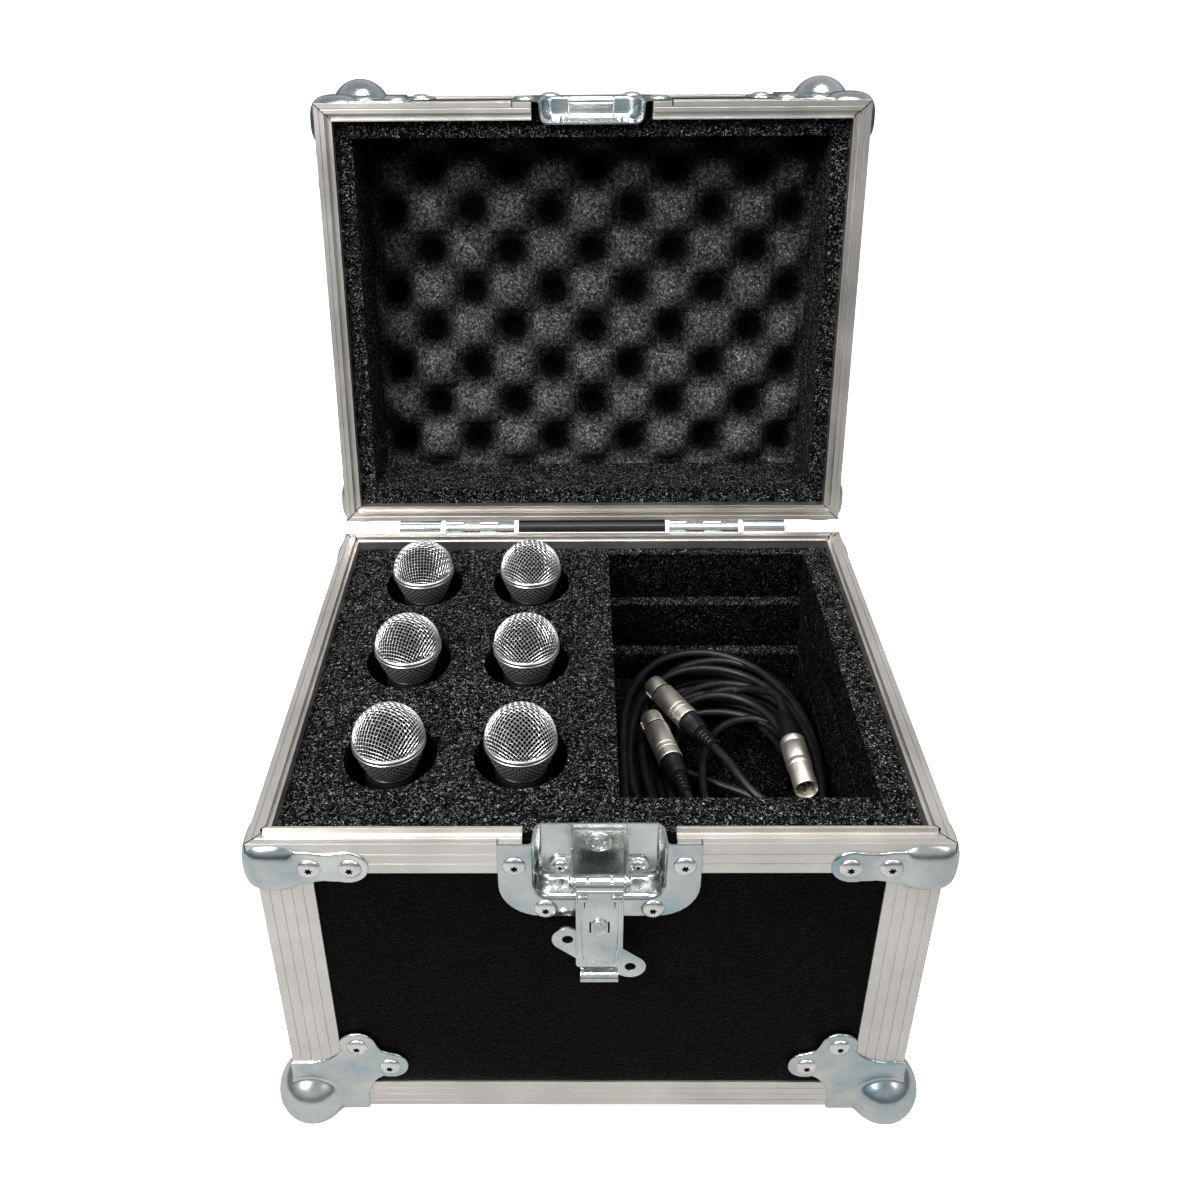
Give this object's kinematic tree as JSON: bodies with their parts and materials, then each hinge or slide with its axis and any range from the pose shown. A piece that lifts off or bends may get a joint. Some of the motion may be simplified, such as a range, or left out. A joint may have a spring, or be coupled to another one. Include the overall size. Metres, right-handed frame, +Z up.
{
  "type": "microphone flight case",
  "caption": "Hard flight case with a hinged lid, butterfly latch, ball corners and cut foam that holds hand microphones beside a compartment of coiled cables.",
  "frame": {"origin": "centre of the bounding box's plan, on the floor under the ball corners, with the lid open as it rests", "axes": "+X to the right seen from the front, +Y from the latch to the hinges, +Z up"},
  "size_m": [0.4562, 0.5866, 0.6391],
  "materials": {
    "hardware": "bright zinc-plated pressed steel",
    "laminate": "black pebble-grain laminate on plywood",
    "extrusion": "satin anodised, fine lengthwise grooves",
    "foam": "open-cell charcoal foam",
    "mesh": "woven steel wire",
    "mesh_ring": "satin nickel ring",
    "microphone_body": "dark satin enamel",
    "cable_jacket": "matt black jacket",
    "connector_shell": "satin nickel with a warm tint",
    "connector_insert": "moulded insert"
  },
  "bodies": {
    "base_shell": {"base_back_panel": "laminate", "base_back_rim": "extrusion", "base_ball_corners": "hardware", "base_corner_angles": "extrusion", "base_edge_angles": "extrusion", "base_floor_panel": "laminate", "base_front_panel": "laminate", "base_front_rim": "extrusion", "base_hinge_leaves": "hardware", "base_latch_dish": "hardware", "base_rim_braces": "hardware", "base_side_panels": "laminate", "base_side_rims": "extrusion", "cable_a_boots": "cable_jacket", "cable_a_coil": "cable_jacket", "cable_a_inserts": "connector_insert", "cable_a_shells": "connector_shell", "cable_b_boots": "cable_jacket", "cable_b_coil": "cable_jacket", "cable_b_inserts": "connector_insert", "cable_b_shells": "connector_shell", "cable_leads": "cable_jacket", "foam_floor_block": "foam", "foam_lower_sheet": "foam", "foam_middle_sheet": "foam", "foam_top_sheet": "foam", "hinge_pins": "hardware", "latch_bracket": "hardware", "latch_pin": "hardware", "microphone_bands": "mesh_ring", "microphone_baskets": "mesh", "microphone_collars": "microphone_body", "microphone_domes": "mesh", "microphone_grips": "microphone_body"},
    "lid": {"lid_back_panel": "laminate", "lid_back_rim": "extrusion", "lid_ball_corners": "hardware", "lid_corner_angles": "extrusion", "lid_crate_foam": "foam", "lid_edge_angles": "extrusion", "lid_foam_lining": "foam", "lid_front_panel": "laminate", "lid_front_rim": "extrusion", "lid_hinge_leaves": "hardware", "lid_latch_dish": "hardware", "lid_rim_braces": "hardware", "lid_side_panels": "laminate", "lid_side_rims": "extrusion", "lid_strike": "hardware", "lid_top_panel": "laminate"},
    "latch_arm": {"latch_arm": "hardware", "latch_guide_rivet": "hardware"},
    "latch_hook": {"latch_hook": "hardware"},
    "latch_wing": {"latch_wing": "hardware"}
  },
  "joints": [
    {"name": "lid_hinge", "type": "hinge", "parent": "base_shell", "child": "lid", "pos_m": [0, 0.08062, 0.27963], "axis": [1, 0, 0], "range_deg": [0, 98]},
    {"name": "latch_arm_pivot", "type": "hinge", "parent": "base_shell", "child": "latch_arm", "pos_m": [0, -0.28338, 0.25313], "axis": [-1, 0, 0], "range_deg": [0, 180]},
    {"name": "latch_twist", "type": "hinge", "parent": "latch_arm", "child": "latch_wing", "pos_m": [0, -0.28318, 0.19163], "axis": [0, 1, 0], "range_deg": [-32.8, 147.2]},
    {"name": "latch_hook_slide", "type": "slide", "parent": "latch_arm", "child": "latch_hook", "axis": [0, 0, 1], "range_m": [-0.00073, 0.00328]}
  ],
  "couplings": [
    {"joint": "latch_hook_slide", "follows": "latch_twist", "m_per_rad": 0.0012732}
  ]
}
